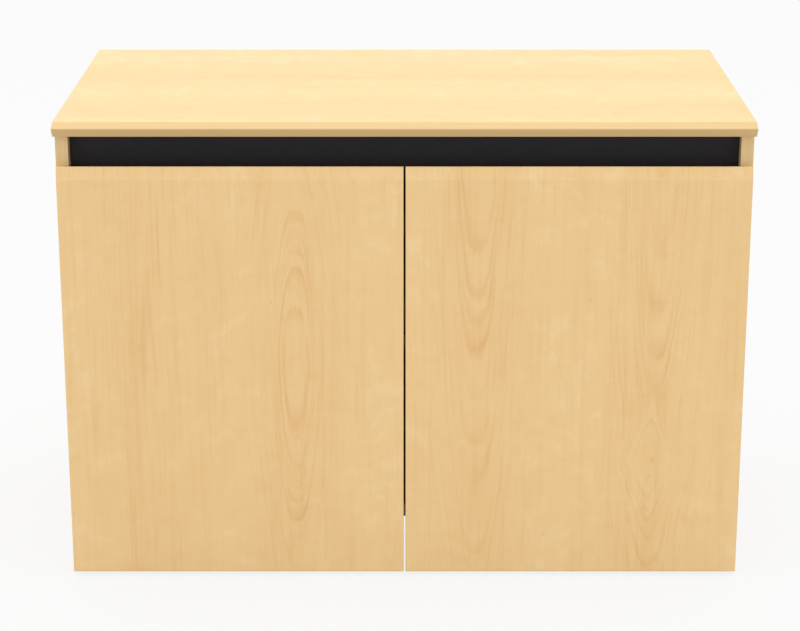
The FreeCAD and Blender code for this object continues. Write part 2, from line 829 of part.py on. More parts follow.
# Every object has to be sound before anything is written.
doc.recompute()
for item in doc.Objects:
    if "Invalid" in item.State or "Error" in item.State:
        raise RuntimeError(f"{item.Name} failed: {item.State}")
for piece in pieces:
    if piece.Shape.isNull() or not piece.Shape.isValid():
        raise RuntimeError(f"{piece.Label} has no sound shape")
os.makedirs("parts", exist_ok=True)
for piece in pieces:
    piece.Shape.exportStep(f"parts/{piece.Label}.step")
    print(f"{piece.Label}: {len(piece.Shape.Solids)} solids, {piece.Shape.Volume:.1f} mm3")
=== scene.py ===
# %% [markdown]
# # A two-door credenza in maple-look board
#
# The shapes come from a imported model: every board, hinge and screw is already there, at its real size
# and on the body that it moves with. This lesson adds what a model of solids lacks: the grain of the
# doors, the dark rail, the plated hinges, the recesses and threads of the screws, the light and the
# camera.

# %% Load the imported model
import bmesh
import bpy
import math
import numpy as np
from collections import namedtuple
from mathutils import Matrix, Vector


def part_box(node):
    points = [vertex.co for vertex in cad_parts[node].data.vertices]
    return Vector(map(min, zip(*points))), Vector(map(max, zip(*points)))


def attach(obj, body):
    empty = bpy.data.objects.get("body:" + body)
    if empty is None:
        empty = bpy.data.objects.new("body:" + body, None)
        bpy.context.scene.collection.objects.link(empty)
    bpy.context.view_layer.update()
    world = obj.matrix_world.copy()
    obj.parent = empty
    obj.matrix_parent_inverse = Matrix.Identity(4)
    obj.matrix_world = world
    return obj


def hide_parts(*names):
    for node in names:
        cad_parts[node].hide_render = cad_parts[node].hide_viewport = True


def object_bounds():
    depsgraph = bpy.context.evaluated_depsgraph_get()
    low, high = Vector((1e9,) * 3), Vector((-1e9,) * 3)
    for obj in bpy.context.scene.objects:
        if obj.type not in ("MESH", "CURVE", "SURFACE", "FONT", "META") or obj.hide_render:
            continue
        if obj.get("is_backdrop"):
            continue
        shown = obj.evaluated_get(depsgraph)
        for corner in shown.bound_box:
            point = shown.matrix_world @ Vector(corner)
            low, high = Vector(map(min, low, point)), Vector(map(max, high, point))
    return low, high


MM = 0.001
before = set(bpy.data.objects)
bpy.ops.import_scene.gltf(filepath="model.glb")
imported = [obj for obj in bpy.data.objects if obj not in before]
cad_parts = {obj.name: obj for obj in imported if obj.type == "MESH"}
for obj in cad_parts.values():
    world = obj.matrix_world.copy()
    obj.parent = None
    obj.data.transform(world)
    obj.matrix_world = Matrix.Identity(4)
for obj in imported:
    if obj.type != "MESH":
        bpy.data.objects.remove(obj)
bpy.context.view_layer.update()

# %% [markdown]
# ## The camera
#
# The photograph was taken from straight in front and above. A camera can be moved by eye until the
# pictures agree, but the edges of the top and of the doors fix the focal length, the height and the
# tilt, so it is written as those few numbers. The middle of the cabinet stands a few pixels right of
# the middle of the picture. A lens shift of that much moves it there without turning the camera.

# %% Set up the camera
PHOTO_WIDTH = 800
PHOTO_MIDDLE_COLUMN = 400
CABINET_COLUMN = 404.55
FOCAL_PIXELS = 2309.9
SENSOR_WIDTH = 36.0
CAMERA_DISTANCE = 3.6406
CAMERA_HEIGHT = 1.4906
CAMERA_TILT = math.radians(17.517)

scene = bpy.context.scene
scene.view_settings.view_transform = "Standard"

lens = bpy.data.cameras.new("photo_camera")
lens.sensor_fit = "HORIZONTAL"
lens.sensor_width = SENSOR_WIDTH
lens.lens = FOCAL_PIXELS / PHOTO_WIDTH * SENSOR_WIDTH
lens.shift_x = (PHOTO_MIDDLE_COLUMN - CABINET_COLUMN) / PHOTO_WIDTH
camera = bpy.data.objects.new("photo_camera", lens)
camera.location = (0.0, -CAMERA_DISTANCE, CAMERA_HEIGHT)
camera.rotation_euler = (math.pi / 2 - CAMERA_TILT, 0.0, 0.0)
scene.collection.objects.link(camera)
scene.camera = camera
print("lens:", round(lens.lens, 2), "mm")

# %% [markdown]
# ## Shader maths as Python
#
# A wood pattern is a formula, and a formula is hard to read as a web of boxes and wires. The class
# `Value` wraps one output of a node, so that `a * b + 1` adds the Math nodes by itself. The class
# `Finish` is one material, and its method `node` makes any other kind of node: settings first, because
# they change which sockets exist, then numbers or links for the sockets.

# %% A value in a shader


class Value:
    """One output of a node. Arithmetic on it, with numbers on either side, adds Math nodes."""

    def __init__(self, finish, socket):
        self.finish = finish
        self.socket = socket

    def maths(self, operation, first, second=0.0, third=0.0):
        """Adds one Math node and gives back its output."""
        sockets = {0: first, 1: second, 2: third}
        return self.finish.node("ShaderNodeMath", {"operation": operation}, sockets)

    def __add__(self, other):
        return self.maths("ADD", self, other)

    def __radd__(self, other):
        return self.maths("ADD", other, self)

    def __sub__(self, other):
        return self.maths("SUBTRACT", self, other)

    def __rsub__(self, other):
        return self.maths("SUBTRACT", other, self)

    def __mul__(self, other):
        return self.maths("MULTIPLY", self, other)

    def __rmul__(self, other):
        return self.maths("MULTIPLY", other, self)

    def __truediv__(self, other):
        return self.maths("DIVIDE", self, other)

    def __rtruediv__(self, other):
        return self.maths("DIVIDE", other, self)

    def __pow__(self, other):
        return self.maths("POWER", self, other)

    def __rpow__(self, other):
        return self.maths("POWER", other, self)

    def __abs__(self):
        return self.maths("ABSOLUTE", self)

    def at_most(self, other):
        """The smaller of two values."""
        return self.maths("MINIMUM", self, other)

    def at_least(self, other):
        """The larger of two values."""
        return self.maths("MAXIMUM", self, other)

    def soft_least(self, other, width):
        """The smaller of two values, with the corner between them rounded over that width."""
        return self.maths("SMOOTH_MIN", self, other, width)

    def rise(self, low, high):
        """0 below low, 1 above high, and a smooth step between them."""
        sockets = {"Value": self, "From Min": low, "From Max": high}
        return self.finish.node("ShaderNodeMapRange", {"interpolation_type": "SMOOTHSTEP"}, sockets)

    def fall(self, low, high):
        """1 below low, 0 above high, and a smooth step between them."""
        return 1 - self.rise(low, high)


# %% A finish


class Finish:
    """The nodes of one material or world, under construction."""

    def __init__(self, owner):
        self.owner = owner
        owner.use_nodes = True
        self.tree = owner.node_tree
        self.tree.nodes.clear()

    def node(self, kind, settings=None, sockets=None, output=0):
        """Makes a node, applies its settings, fills or links its sockets, and gives back one output."""
        made = self.tree.nodes.new(kind)
        for name, setting in (settings or {}).items():
            if name == "stops":
                self.set_stops(made.color_ramp, setting)
            else:
                setattr(made, name, setting)
        for name, content in (sockets or {}).items():
            if isinstance(content, Value):
                self.tree.links.new(content.socket, made.inputs[name])
            else:
                made.inputs[name].default_value = content
        return Value(self, made.outputs[output]) if made.outputs else None

    def set_stops(self, ramp, stops):
        """Fills a colour ramp with grey stops, given as places and levels from 0 to 1."""
        while len(ramp.elements) < len(stops):
            ramp.elements.new(0.5)
        for element, (place, level) in zip(ramp.elements, stops):
            element.position = place
            element.color = (level, level, level, 1.0)

    def place(self):
        """The point on the piece in metres, as three values."""
        spot = self.node("ShaderNodeTexCoord", output="Object")
        return [self.node("ShaderNodeSeparateXYZ", sockets={0: spot}, output=axis) for axis in "XYZ"]

    def vector(self, x, y, z):
        """Three values as one vector."""
        return self.node("ShaderNodeCombineXYZ", sockets={0: x, 1: y, 2: z})

    def noise(self, x, y, z, detail=2.0, roughness=0.5):
        """Smooth noise from 0 to 1 at a point whose sides are already scaled to the wanted size."""
        spot = self.vector(x, y, z)
        sockets = {"Vector": spot, "Scale": 1.0, "Detail": detail, "Roughness": roughness}
        return self.node("ShaderNodeTexNoise", sockets=sockets)

    def ramp(self, value, stops):
        """A curve through stops, read at a value from 0 to 1."""
        return self.node("ShaderNodeValToRGB", {"stops": stops}, {"Fac": value})

    def mix(self, share, first, second):
        """A colour between two others."""
        sockets = {0: share, 6: first, 7: second}
        return self.node("ShaderNodeMix", {"data_type": "RGBA"}, sockets, output=2)

    def bump(self, height, depth):
        """Normals of a surface that rises by height times depth, in metres."""
        sockets = {"Height": height, "Distance": depth, "Strength": 1.0}
        return self.node("ShaderNodeBump", sockets=sockets, output="Normal")

    def end(self, shader, kind="ShaderNodeOutputMaterial"):
        """Links a shader to the output of the material or world."""
        self.node(kind, sockets={"Surface": shader})

    def close(self, **sockets):
        """Ends in a Principled shader, whose socket names are written with underscores for spaces."""
        named = {name.replace("_", " "): content for name, content in sockets.items()}
        self.end(self.node("ShaderNodeBsdfPrincipled", sockets=named))
        return self.owner


# %% Materials by name


def finish_named(name):
    """Starts a new material."""
    return Finish(bpy.data.materials.new(name))


def paint(material, *names):
    """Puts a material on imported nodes, in place of the plain one that they came with."""
    for name in names:
        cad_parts[name].material_slots[0].material = material
    print(material.name, "on", ", ".join(names))


# %% [markdown]
# ## A surface from a grid
#
# Blender can build a mesh point by point, but the skin of most made things is smoother than that: a
# grid, bent into shape. So a piece here is an array of points in rows and columns, worked out all at
# once, and this function puts a four-sided face into every cell.

# %% Make a mesh of grids
MERGE_DISTANCE = 1e-7


def surface(name, grids, closed=False):
    """A piece made of grids of points, copies by rows by columns by three, with a quad in each cell.

    With closed, the last column joins the first, as on anything turned round an axis, and the points
    that meet at a pole are merged.
    """
    copies, rows, columns = grids.shape[:3]
    index = np.arange(copies * rows * columns).reshape(copies, rows, columns)
    start = index if closed else index[:, :, :-1]
    following = np.roll(index, -1, axis=2) if closed else index[:, :, 1:]
    corners = [start[:, :-1], following[:, :-1], following[:, 1:], start[:, 1:]]
    quads = np.stack(corners, axis=-1).reshape(-1, 4)
    mesh = bpy.data.meshes.new(name)
    mesh.from_pydata(grids.reshape(-1, 3).tolist(), [], quads.tolist())
    if closed:
        shape = bmesh.new()
        shape.from_mesh(mesh)
        bmesh.ops.remove_doubles(shape, verts=shape.verts, dist=MERGE_DISTANCE)
        bmesh.ops.recalc_face_normals(shape, faces=shape.faces)
        shape.to_mesh(mesh)
        shape.free()
    made = bpy.data.objects.new(name, mesh)
    scene.collection.objects.link(made)
    print(name, "has", len(mesh.polygons), "faces")
    return made


# %% [markdown]
# ## The floor and the light
#
# The photograph is cut out on plain white, so only the cabinet's own tones tell of its light: it is
# even, from all round, with a little more from above. Brighter lamps could make the background white,
# but they would wash out the wood. So to the camera most of the floor glows by itself, while the rest
# of it is lit by the lamp and keeps the soft shadow of the cabinet. To the light that bounces on to the
# cabinet it is an ordinary pale floor.

# %% Lay the floor
FLOOR_HALF = 30.0
FLOOR_PALE = (0.62, 0.62, 0.62, 1.0)
GLOW_SHARE = 0.84
GLOW_LEVEL = 1.0
WHITE = (1.0, 1.0, 1.0, 1.0)


def seen_directly(finish):
    """1 for what the camera sees straight, in a mirror or through glass, else 0."""
    rays = ["Is Camera Ray", "Is Glossy Ray", "Is Transmission Ray"]
    camera_ray, glossy, through = [finish.node("ShaderNodeLightPath", output=ray) for ray in rays]
    return camera_ray.at_least(glossy).at_least(through)


floor_edges = np.array([-FLOOR_HALF, FLOOR_HALF])
floor_x, floor_y = np.meshgrid(floor_edges, floor_edges)
floor = surface("floor", np.stack([floor_x, floor_y, np.zeros_like(floor_x)], axis=-1)[None])
floor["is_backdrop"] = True

floor_finish = finish_named("pale_floor")
glow = floor_finish.node("ShaderNodeEmission", sockets={"Color": WHITE, "Strength": GLOW_LEVEL})
matt = floor_finish.node("ShaderNodeBsdfDiffuse", sockets={"Color": FLOOR_PALE})
glow_share = seen_directly(floor_finish) * GLOW_SHARE
floor_finish.end(floor_finish.node("ShaderNodeMixShader", sockets={0: glow_share, 1: matt, 2: glow}))
floor.data.materials.append(floor_finish.owner)

# %% Set the light
WHITE_PAPER = 0.956
SKY_LEVEL = 1.18
KEY_POWER = 40.0
KEY_SIZE = 3.2
KEY_DISTANCE = 4.2
KEY_HEIGHT_ANGLE = math.radians(88)

world = bpy.data.worlds.new("studio")
scene.world = world
sky = Finish(world)
white = sky.node("ShaderNodeBackground", sockets={"Color": WHITE, "Strength": WHITE_PAPER})
dome = sky.node("ShaderNodeBackground", sockets={"Color": WHITE, "Strength": SKY_LEVEL})
sky_mix = sky.node("ShaderNodeMixShader", sockets={0: seen_directly(sky), 1: dome, 2: white})
sky.end(sky_mix, "ShaderNodeOutputWorld")

lamp = bpy.data.lights.new("soft_key", "AREA")
lamp.shape = "SQUARE"
lamp.size = KEY_SIZE
lamp.energy = KEY_POWER
key = bpy.data.objects.new("soft_key", lamp)
key.location = (
    0.0,
    -KEY_DISTANCE * math.cos(KEY_HEIGHT_ANGLE),
    KEY_DISTANCE * math.sin(KEY_HEIGHT_ANGLE),
)
key.rotation_euler = (math.pi / 2 - KEY_HEIGHT_ANGLE, 0.0, 0.0)
scene.collection.objects.link(key)
print("key lamp:", lamp.energy, "W,", lamp.size, "m square")

# %% [markdown]
# ## Year rings
#
# The boards are covered with a paper laminate printed as maple: a warm, pale colour with very faint
# figure. A flat-sawn board shows its year rings as long nested arches, which joiners call cathedrals.
# They could be drawn by hand, one curve at a time, but they follow from the tree: a trunk is a stack of
# slim cones, and the saw cuts it beside its middle. The radius of the ring at a point of the board is
# then the root of (across squared plus depth squared), plus a taper that grows along the board. A
# second root flattens the tips of the arches. Each figure below has one or two such centres, and a
# ramp over the radius says which rings are dark.

# %% The shape of the rings
RING_REACH = 0.060
RING_BUILD = 2.4
RING_CREST = 0.5
RING_JOIN = 0.010

Eye = namedtuple("Eye", "centre middle depth taper power flat", defaults=(0.0,))


def ring_stops(rings):
    """Stops of a ramp that darkens slowly towards each ring's radius and ends sharply just past it.

    A ring is a radius in millimetres and a strength from 0 to 1.
    """
    stops = [(0.0, 0.0)]
    ended = 0.0
    for radius, strength in rings:
        start = max(radius - RING_BUILD, ended)
        ended = radius + RING_CREST
        stops += [(start, 0.0), (radius, strength), (ended, 0.0)]
    return [(place * MM / RING_REACH, level) for place, level in stops]


def ring_radius(across, along, eyes):
    """The radius of the year ring at a point, less that at the nearest eye, in metres.

    For an eye it is the root of (offset squared plus depth squared), less the depth, plus the taper
    times a power of the distance along the board: 1 gives pointed arches, more gives round ones.
    The offset is the root of (distance across squared plus flat squared), less flat, so flat blunts
    the arches. The smallest over all the eyes counts.
    """
    radius = None
    for eye in eyes:
        apart = across - eye.centre
        offset = (apart * apart + eye.flat ** 2) ** 0.5 - eye.flat
        bow = (offset * offset + eye.depth ** 2) ** 0.5 - eye.depth
        reach = bow + abs(along - eye.middle) ** eye.power * eye.taper
        radius = reach if radius is None else radius.soft_least(reach, RING_JOIN)
    return radius


# %% [markdown]
# ## Layers of noise
#
# No tree grows as evenly as a cone. The rings wander, shiver and fade, and between them lie fibres,
# streaks and clouds. Each of these is one layer of noise, mostly stretched along the grain. A layer is
# written as a row of plain numbers, so that a board can be tuned without touching the formulas: how
# many waves it has in a metre, how much of it there is, and between which levels it shows.

# %% A layer of noise
Layer = namedtuple(
    "Layer",
    "across along weight low high detail roughness shift",
    defaults=(0.0, 1.0, 0.0, 1.0, 2.0, 0.5, 0.0),
)
NOISE_MIDDLE = 0.5


def face_noise(finish, across, along, layer, seed):
    """A layer that is the same all through the thickness of a board."""
    place = [across * layer.across, along * layer.along, seed + layer.shift]
    return finish.noise(*place, detail=layer.detail, roughness=layer.roughness)


def grain_noise(finish, across, along, through, layer, seed):
    """A layer that is as fine through a board as it is across it."""
    place = [across * layer.across, along * layer.along, through * layer.across + seed]
    return finish.noise(*place, detail=layer.detail, roughness=layer.roughness)


def strewn(finish, point, layer, seed=0.0, axis=""):
    """A layer in space, even in all directions or stretched along a named axis."""
    waves = [layer.along if name == axis else layer.across for name in "xyz"]
    place = [part * count + seed for part, count in zip(point, waves)]
    return finish.noise(*place, detail=layer.detail, roughness=layer.roughness)


def sway(finish, across, along, layer, seed):
    """A layer that swings about nought: noise less its middle, times the weight."""
    return (face_noise(finish, across, along, layer, seed) - NOISE_MIDDLE) * layer.weight


def shown(noise, layer):
    """How much of a layer shows: a smooth step from its low to its high, times its weight."""
    return noise.rise(layer.low, layer.high) * layer.weight


# %% Rings on a board
SLOW_BEND = Layer(across=5, along=2.5, weight=0.014)
QUICK_BEND = Layer(across=28, along=9, weight=0.009, detail=3, shift=3)
SHIVER = Layer(across=120, along=30, weight=0.0018, detail=3, shift=7)
RING_FADE = Layer(across=22, along=9, weight=0.7, low=0.30, high=0.62, shift=9)
RING_LEAST = 0.3
ARCH_NEAR = 0.010
ARCH_FAR = 0.034
ARCH_SHARE = 0.6
SIDE_SHARE = 0.4
FIGURE_NEAR = 0.040
FIGURE_FAR = 0.075


def year_rings(finish, across, along, figures, seed):
    """How dark the year rings are, how far the nearest figure is across, and the radius there.

    A figure is a list of eyes and a list of rings. The rings are strongest on its middle line, and end
    at some distance from it.
    """
    bent = across + sway(finish, across, along, SLOW_BEND, seed)
    bent = bent + sway(finish, across, along, QUICK_BEND, seed)
    shiver = sway(finish, across, along, SHIVER, seed)
    fade = shown(face_noise(finish, across, along, RING_FADE, seed), RING_FADE)
    dark = sideways = nearest = None
    for eyes, rings in figures:
        radius = ring_radius(bent, along, eyes) + shiver
        apart = abs(bent - eyes[0].centre)
        drawn = finish.ramp(radius / RING_REACH, ring_stops(rings))
        drawn = drawn * (apart.fall(ARCH_NEAR, ARCH_FAR) * ARCH_SHARE + SIDE_SHARE)
        drawn = drawn * apart.fall(FIGURE_NEAR, FIGURE_FAR)
        dark = drawn if dark is None else dark.at_least(drawn)
        sideways = apart if sideways is None else sideways.at_most(apart)
        nearest = radius if nearest is None else nearest.soft_least(radius, RING_JOIN)
    return dark * (fade + RING_LEAST), sideways, nearest


# %% [markdown]
# ## Small marks in the figure
#
# Where the grain parts, it leaves a small diamond: its outline is pale, and the rings fade inside it.
# Pin knots are dark dots, a few millimetres across. Both could be noise that shows only at its peaks,
# but the eye goes to them first, so each is put in its own place.

# %% Diamonds and knots
Diamond = namedtuple("Diamond", "centre middle half_width half_height")
DIAMOND_HOLLOW = 0.8
DIAMOND_DRIFT = 0.8
DIAMOND_MOTTLE = 0.5
DIAMOND_FADE = (0.75, 1.15)
DIAMOND_RINGS_OUT = 0.75
DIAMOND_RINGS_IN = 0.25
OUTLINE_RISE = (0.60, 0.92)
OUTLINE_FALL = (0.95, 1.15)
OUTLINE_PALE = 0.6

Knot = namedtuple("Knot", "centre middle size")
KNOT_SQUEEZE = 0.7
KNOT_HEART = 0.2
KNOT_DARK = 0.6


def diamond_distance(across, along, diamond):
    """0 in the middle of a diamond and 1 on its outline.

    It is the sum of the shares of the half width and of the half height, each to a power below 1, which
    hollows the four edges.
    """
    sideways = abs(across - diamond.centre) / diamond.half_width
    upright = abs(along - diamond.middle) / diamond.half_height
    return sideways ** DIAMOND_HOLLOW + upright ** DIAMOND_HOLLOW


def knot_tone(across, along, knot):
    """How dark a knot is: most at its heart, and nothing past its size. It is longer along the grain."""
    upright = (along - knot.middle) * KNOT_SQUEEZE
    away = ((across - knot.centre) ** 2 + upright ** 2) ** 0.5
    return away.fall(knot.size * KNOT_HEART, knot.size) * KNOT_DARK


# %% [markdown]
# ## The core of a board
#
# A cut edge or a drilled hole shows what is under the laminate: pressed chips, each with a tone of its
# own. The core could be a second piece inside the board, but a board is one solid with holes in it. The
# laminate lies only on its two faces, so the depth below them decides where the core shows.

# %% Pressed chips
CHIP_PALE = (0.70, 0.51, 0.30, 1.0)
CHIP_BROWN = (0.45, 0.28, 0.14, 1.0)
CHIPS_PER_METRE = 420
CHIP_SHARE = 0.7
CHIP_DUST = Layer(1500, weight=0.3)
SKIN = 0.0001


def chips(finish, *point):
    """Small flat chips: cells with a tone each, and fine dust over them."""
    spot = finish.vector(*[part * CHIPS_PER_METRE for part in point])
    cell = finish.node("ShaderNodeTexVoronoi", sockets={"Vector": spot, "Scale": 1.0}, output="Color")
    tone = finish.node("ShaderNodeSeparateColor", sockets={"Color": cell})
    dust = strewn(finish, point, CHIP_DUST)
    return finish.mix(tone * CHIP_SHARE + dust * CHIP_DUST.weight, CHIP_PALE, CHIP_BROWN)


def inside(value, low, high, margin):
    """1 where a value lies more than a margin inside its range, else 0."""
    half = (high - low) / 2
    return (half - abs(value - (low + high) / 2)).rise(margin, margin + SKIN)


# %% [markdown]
# ## The laminate
#
# The finish of a board is three colours: the body of the wood, a darker line and a paler cloud. Rings,
# lines, streaks and pores add up to how dark a point is. Wide patches, and the short flecks that lie
# across the grain of maple, add up to how pale it is. A picture of veneer would be quicker, but it would
# repeat, and it could not follow the figures of each board.

# %% The layers of maple
MAPLE = (0.812, 0.556, 0.259, 1.0)
MAPLE_LINE = (0.742, 0.447, 0.180, 1.0)
MAPLE_PALE = (0.830, 0.604, 0.305, 1.0)

FIBRE = Layer(across=900, along=26, weight=0.16, low=0.5, high=0.85)
STREAK = Layer(across=150, along=4.5, weight=0.28, low=0.46, high=0.8, detail=3)
BAND = Layer(across=17, along=1.3, weight=0.15, low=0.45, high=0.75)
PORE = Layer(across=2300, along=120, weight=0.14, low=0.58, high=0.72, detail=1)
MOTTLE = Layer(13, 9, weight=0.55, low=0.44, high=0.74, detail=4, roughness=0.62, shift=5)
DRIFT = Layer(across=7, along=5, shift=21)
FLECK = Layer(34, 33, weight=0.95, low=0.44, high=0.72, detail=3, roughness=0.55, shift=8)
SMUDGE = Layer(30, 42, weight=0.17, low=0.48, high=0.75, detail=3, roughness=0.55, shift=12)
LINE = Layer(across=12, along=4, weight=0.30, low=0.5, high=0.75)

# How the layers work on each other: lines follow the rings, drift bends flecks and smudges, and patches
# and flecks are weaker in the column of wood round a figure.
LINES_PER_METRE = 420
LINE_LEAST = 0.09
RING_WEIGHT = 0.85
FLECK_DRIFT_ACROSS = 3
FLECK_DRIFT_ALONG = 5
FLECK_PATCH = (0.32, 0.60)
SMUDGE_DRIFT = 5
COLUMN_REACH = (0.015, 0.11)
COLUMN_LESS_MOTTLE = 0.25
COLUMN_LESS_FLECK = 0.45

LAMINATE_ROUGH = 0.41
FIBRE_ROUGH = 0.06
DARK_ROUGH = 0.05
CORE_ROUGH = 0.4
FIBRE_RELIEF = 0.5
STREAK_RELIEF = 0.3
LAMINATE_RELIEF = 0.00002

# %% A laminate finish


def pale_clouds(finish, across, along, column, mottle, drift, seed):
    """How pale a point is: wide patches, plus flecks within them."""
    fleck = finish.noise(
        across * FLECK.across + drift * FLECK_DRIFT_ACROSS,
        along * FLECK.along + drift * FLECK_DRIFT_ALONG,
        seed + FLECK.shift,
        detail=FLECK.detail,
        roughness=FLECK.roughness,
    )
    patches = mottle.rise(MOTTLE.low, MOTTLE.high) * (MOTTLE.weight - column * COLUMN_LESS_MOTTLE)
    flecks = fleck.rise(FLECK.low, FLECK.high) * mottle.rise(*FLECK_PATCH)
    return patches + flecks * (FLECK.weight - column * COLUMN_LESS_FLECK)


def maple(
    name, axes, figures, seed, core=None, knots=(), diamonds=(), nose=None, fine=1.0, column_tone=0.10
):
    """The laminate on one board: axes names the directions across the grain, along it and through it.

    core and nose are functions of the finish and the point that say where the core and the darker
    front edge show. fine is how strong the fine lines are, and column_tone how dark the board is round a
    figure.
    """
    finish = finish_named(name)
    point = finish.place()
    spot = dict(zip("xyz", point))
    across, along, through = [spot[axis] for axis in axes]
    rings, sideways, radius = year_rings(finish, across, along, figures, seed)
    column = sideways.fall(*COLUMN_REACH)
    mottle = face_noise(finish, across, along, MOTTLE, seed)
    drift = sway(finish, across, along, DRIFT, seed)
    pale = pale_clouds(finish, across, along, column, mottle, drift, seed)
    for diamond in diamonds:
        distance = diamond_distance(across, along, diamond) + drift * DIAMOND_DRIFT
        distance = distance + (mottle - NOISE_MIDDLE) * DIAMOND_MOTTLE
        rings = rings * (distance.rise(*DIAMOND_FADE) * DIAMOND_RINGS_OUT + DIAMOND_RINGS_IN)
        pale = pale + distance.rise(*OUTLINE_RISE) * distance.fall(*OUTLINE_FALL) * OUTLINE_PALE

    lines = finish.noise(radius * LINES_PER_METRE, across * LINE.across, along * LINE.along + seed)
    fibre, streak, band, pore = [
        grain_noise(finish, across, along, through, layer, seed)
        for layer in (FIBRE, STREAK, BAND, PORE)
    ]
    smudge = finish.noise(
        across * SMUDGE.across,
        along * SMUDGE.along + drift * SMUDGE_DRIFT,
        seed + SMUDGE.shift,
        detail=SMUDGE.detail,
        roughness=SMUDGE.roughness,
    )
    fine_lines = lines.rise(LINE.low, LINE.high) * (column * LINE.weight + LINE_LEAST)
    dark = rings * RING_WEIGHT + (fine_lines + shown(streak, STREAK)) * fine
    dark = dark + column * column_tone + shown(band, BAND) + shown(smudge, SMUDGE)
    dark = dark + shown(fibre, FIBRE) + shown(pore, PORE)
    for knot in knots:
        dark = dark + knot_tone(across, along, knot)

    colour = finish.mix(pale, MAPLE, MAPLE_PALE)
    colour = finish.mix(dark.at_most(1.0), colour, MAPLE_LINE)
    rough = LAMINATE_ROUGH + fibre * FIBRE_ROUGH + dark * DARK_ROUGH
    relief = fibre * FIBRE_RELIEF + streak * STREAK_RELIEF
    # The shaped front edge of the top is coloured a shade darker than the laminate.
    if nose:
        colour = finish.mix(nose(finish, *point), colour, darker_front_edge(finish, *point))
    if core:
        bare = core(finish, *point)
        colour = finish.mix(bare, colour, chips(finish, *point))
        rough = rough + bare * CORE_ROUGH
    normal = finish.bump(relief, LAMINATE_RELIEF)
    return finish.close(Base_Color=colour, Roughness=rough, Normal=normal)


# %% [markdown]
# ## The doors
#
# The left door has one tall closed eye with arches over and under it, and a few straight dark streaks
# near its hinges. The right door has a row of arches that point down, and a second one that pinches to
# a waist and opens again round a small diamond. The numbers are places on the board, in metres, and ring
# radii in millimetres. The doors are wrapped in their laminate, so the core shows only in the bores of
# the back.

# %% The figures of the doors
LEFT_DOOR_FIGURES = [
    (
        [Eye(centre=-0.167, middle=0.345, depth=0.0104, taper=0.169, power=1.5, flat=0.010)],
        [(5.1, 0.82), (10.9, 0.65), (14.5, 0.5), (17.4, 0.5), (21.0, 0.82)],
    ),
    (
        [Eye(centre=-0.392, middle=0.300, depth=0.030, taper=0.012, power=1.0)],
        [(2.6, 0.2), (6.5, 0.2)],
    ),
]
LEFT_DOOR_KNOTS = [Knot(-0.203, 0.452, 0.003)]
RIGHT_DOOR_FIGURES = [
    (
        [Eye(centre=0.110, middle=0.800, depth=0.009, taper=0.0707, power=1.5, flat=0.022)],
        [
            (9.6, 0.7), (13.9, 0.5), (16.5, 0.3), (19.5, 0.75),
            (25.0, 0.25), (31.0, 0.5), (38.0, 0.2), (46.8, 0.6),
        ],
    ),
    (
        [
            Eye(centre=0.385, middle=0.800, depth=0.012, taper=0.0707, power=1.5, flat=0.018),
            Eye(centre=0.382, middle=0.195, depth=0.008, taper=0.29, power=1.0),
        ],
        [
            (9.0, 0.45), (15.2, 0.5), (20.3, 0.85), (24.2, 0.6),
            (30.0, 0.6), (38.0, 0.45), (48.5, 0.9),
        ],
    ),
]
RIGHT_DOOR_DIAMONDS = [Diamond(centre=0.382, middle=0.200, half_width=0.034, half_height=0.095)]
RIGHT_DOOR_KNOTS = [
    Knot(0.283, 0.455, 0.0035),
    Knot(0.218, 0.072, 0.0035),
    Knot(0.385, 0.196, 0.0055),
    Knot(0.380, 0.168, 0.0035),
]

# %% Paint the doors
DOOR_FINE = 1.15
DOOR_EDGE_MARGIN = 0.0025
DOOR_TOP_MARGIN = 0.030


def door_core(node):
    """Says where a door's core shows: in the bores of its back, away from its wrapped edges."""
    low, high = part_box(node)

    def bare(finish, x, y, z):
        bored = inside(y, low.y, high.y, SKIN) * inside(x, low.x, high.x, DOOR_EDGE_MARGIN)
        return bored * inside(z, low.z, high.z, DOOR_TOP_MARGIN)

    return bare


left_door_maple = maple(
    "maple_left_door", "xzy", LEFT_DOOR_FIGURES, 11.0, door_core("left_door"),
    knots=LEFT_DOOR_KNOTS, fine=DOOR_FINE,
)
paint(left_door_maple, "left_door")
right_door_maple = maple(
    "maple_right_door", "xzy", RIGHT_DOOR_FIGURES, 37.0, door_core("right_door"),
    knots=RIGHT_DOOR_KNOTS, diamonds=RIGHT_DOOR_DIAMONDS, fine=DOOR_FINE,
)
paint(right_door_maple, "right_door")

# %% [markdown]
# ## The darker front edge of the top
#
# The shaped front edge of the top is coloured a shade darker than the laminate, with fine straight
# grain along it. The imported top is one board with that shape cut into it, so the darker edge is only
# a colour, which starts at a line across the board.

# %% The darker front edge
FRONT_EDGE_TONE = (0.668, 0.464, 0.208, 1.0)
FRONT_EDGE_LINE = (0.612, 0.404, 0.168, 1.0)
FRONT_EDGE_START = -0.2738
FRONT_EDGE_SEAM = 0.0002
FRONT_EDGE_FIBRE = Layer(across=620, along=5, weight=0.7, low=0.4, high=0.8, detail=3)


def darker_front_edge(finish, *point):
    """A darker colour with fine straight grain along the shaped front edge of the top."""
    fibre = strewn(finish, point, FRONT_EDGE_FIBRE, axis="x")
    return finish.mix(shown(fibre, FRONT_EDGE_FIBRE), FRONT_EDGE_TONE, FRONT_EDGE_LINE)


def top_front(finish, x, y, z):
    """1 in front of the line where the darker front edge starts, else 0."""
    return y.fall(FRONT_EDGE_START - FRONT_EDGE_SEAM, FRONT_EDGE_START + FRONT_EDGE_SEAM)


# %% [markdown]
# ## The top and the carcass
#
# On the top the grain runs from left to right and is fainter still. On the boards of the carcass the
# core shows at the edges that have no strip and in the rows of holes for the shelf pins. One finish
# could serve them all, but then every board would show the same figure, so each has its own, and its own
# seed for the noise. Only the two sides share one.

